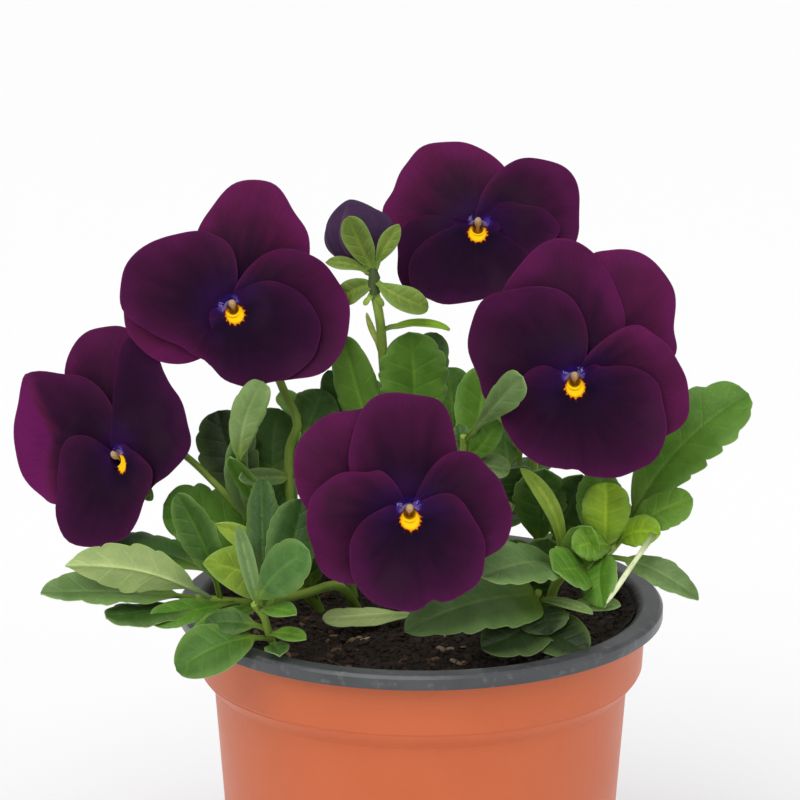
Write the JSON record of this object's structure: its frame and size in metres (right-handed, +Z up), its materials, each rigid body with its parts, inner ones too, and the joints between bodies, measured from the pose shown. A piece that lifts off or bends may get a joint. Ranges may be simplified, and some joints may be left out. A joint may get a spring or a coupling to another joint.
{
  "type": "potted pansy planter",
  "caption": "Young garden pansy with dark purple, yellow-eyed blooms and scalloped leaves, growing in soil in a round two-tone plastic nursery pot.",
  "frame": {"origin": "centre of the pot's flat base pad, on the ground", "axes": "+Z up along the pot's axis, -Y the side that the blooms face, +X to the right as seen from the blooms' side"},
  "size_m": [0.183, 0.1206, 0.2113],
  "materials": {
    "pot": "satin terracotta outside, dark grey rim and inside",
    "soil": "moist peat compost with bark",
    "leaf": "soft satin leaf green",
    "petal": "velvety dark purple",
    "pistil": "matt tan"
  },
  "bodies": {
    "root": {"pot": "pot", "soil": "soil", "shoot_left": "leaf", "shoot_crown_left": "leaf", "shoot_bud": "leaf", "shoot_centre": "leaf", "shoot_crown_back": "leaf", "shoot_right": "leaf", "shoot_front_right": "leaf", "shoot_front_left": "leaf", "shoot_back_1": "leaf", "shoot_back_2": "leaf", "shoot_back_3": "leaf", "shoot_back_4": "leaf", "petals_left": "petal", "petals_crown_left": "petal", "petals_crown_back": "petal", "petals_right": "petal", "petals_front": "petal", "petals_bud": "petal", "pistil_left": "pistil", "pistil_crown_left": "pistil", "pistil_crown_back": "pistil", "pistil_right": "pistil", "pistil_front": "pistil"}
  },
  "joints": []
}
